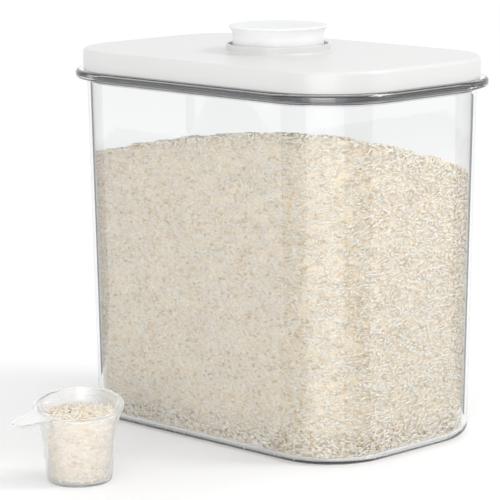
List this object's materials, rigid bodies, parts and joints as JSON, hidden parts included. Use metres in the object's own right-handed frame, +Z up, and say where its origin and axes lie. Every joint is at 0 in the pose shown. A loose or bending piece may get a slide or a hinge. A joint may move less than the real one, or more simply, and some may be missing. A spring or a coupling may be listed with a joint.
{
  "type": "rice storage container",
  "caption": "Clear rounded box with a white press-to-seal lid, a pop-up push button that spreads the lid's gasket, and a separate scoop-shaped measuring cup.",
  "frame": {"origin": "middle of the box's flat base, on the surface that it stands on", "axes": "+Z up through the button, +X along the long side to the right, -Y the front, where the cup stands"},
  "size_m": [0.2754, 0.3368, 0.2713],
  "materials": {
    "clear_plastic": "clear, polished moulding",
    "white_plastic": "gloss moulding",
    "milky_plastic": "milky, smooth moulding",
    "inner_plastic": "plain moulding",
    "silicone": "soft, matt",
    "steel": "drawn"
  },
  "bodies": {
    "container": {"container_body": "clear_plastic"},
    "lid": {"lid_cover": "white_plastic", "lid_tray": "white_plastic", "bottom_plate": "white_plastic", "lid_gasket": "silicone", "pusher_retainer": "inner_plastic", "latch_keeper": "inner_plastic", "return_spring": "steel", "tray_screws": "steel", "retainer_screws": "steel", "keeper_screws": "steel"},
    "button": {"button_cap": "milky_plastic", "plunger": "inner_plastic", "button_screws": "steel"},
    "pusher_right": {"seal_pusher_right": "inner_plastic"},
    "pusher_back": {"seal_pusher_back": "inner_plastic"},
    "pusher_left": {"seal_pusher_left": "inner_plastic"},
    "pusher_front": {"seal_pusher_front": "inner_plastic"},
    "latch": {"latch_pin": "steel"},
    "cup": {"measuring_cup": "clear_plastic"}
  },
  "joints": [
    {"name": "lid_lift", "type": "slide", "parent": "container", "child": "lid", "axis": [0, 0, 1], "range_m": [0, 0.3]},
    {"name": "button_press", "type": "slide", "parent": "lid", "child": "button", "axis": [0, 0, -1], "range_m": [0, 0.0121], "stiffness_N_per_m": 330, "springref_m": -0.018, "deforming": ["return_spring"]},
    {"name": "pusher_right_slide", "type": "slide", "parent": "lid", "child": "pusher_right", "axis": [1, 0, 0], "range_m": [0, 0.00152]},
    {"name": "pusher_back_slide", "type": "slide", "parent": "lid", "child": "pusher_back", "axis": [0, 1, 0], "range_m": [0, 0.00152]},
    {"name": "pusher_left_slide", "type": "slide", "parent": "lid", "child": "pusher_left", "axis": [-1, 0, 0], "range_m": [0, 0.00152]},
    {"name": "pusher_front_slide", "type": "slide", "parent": "lid", "child": "pusher_front", "axis": [0, -1, 0], "range_m": [0, 0.00152]},
    {"name": "latch_swing", "type": "hinge", "parent": "lid", "child": "latch", "pos_m": [0.01853, 0.01853, 0.23215], "axis": [0.7071, 0.7071, 0], "range_deg": [0, 10.55]},
    {"name": "cup_lift", "type": "slide", "parent": "container", "child": "cup", "axis": [0, 0, 1], "range_m": [0, 0.1]}
  ],
  "couplings": [
    {"joint": "pusher_right_slide", "follows": "button_press", "ratio": 0.125},
    {"joint": "pusher_back_slide", "follows": "button_press", "ratio": 0.125},
    {"joint": "pusher_left_slide", "follows": "button_press", "ratio": 0.125},
    {"joint": "pusher_front_slide", "follows": "button_press", "ratio": 0.125},
    {"joint": "latch_swing", "follows": "button_press", "rad_per_m": 15.11}
  ]
}
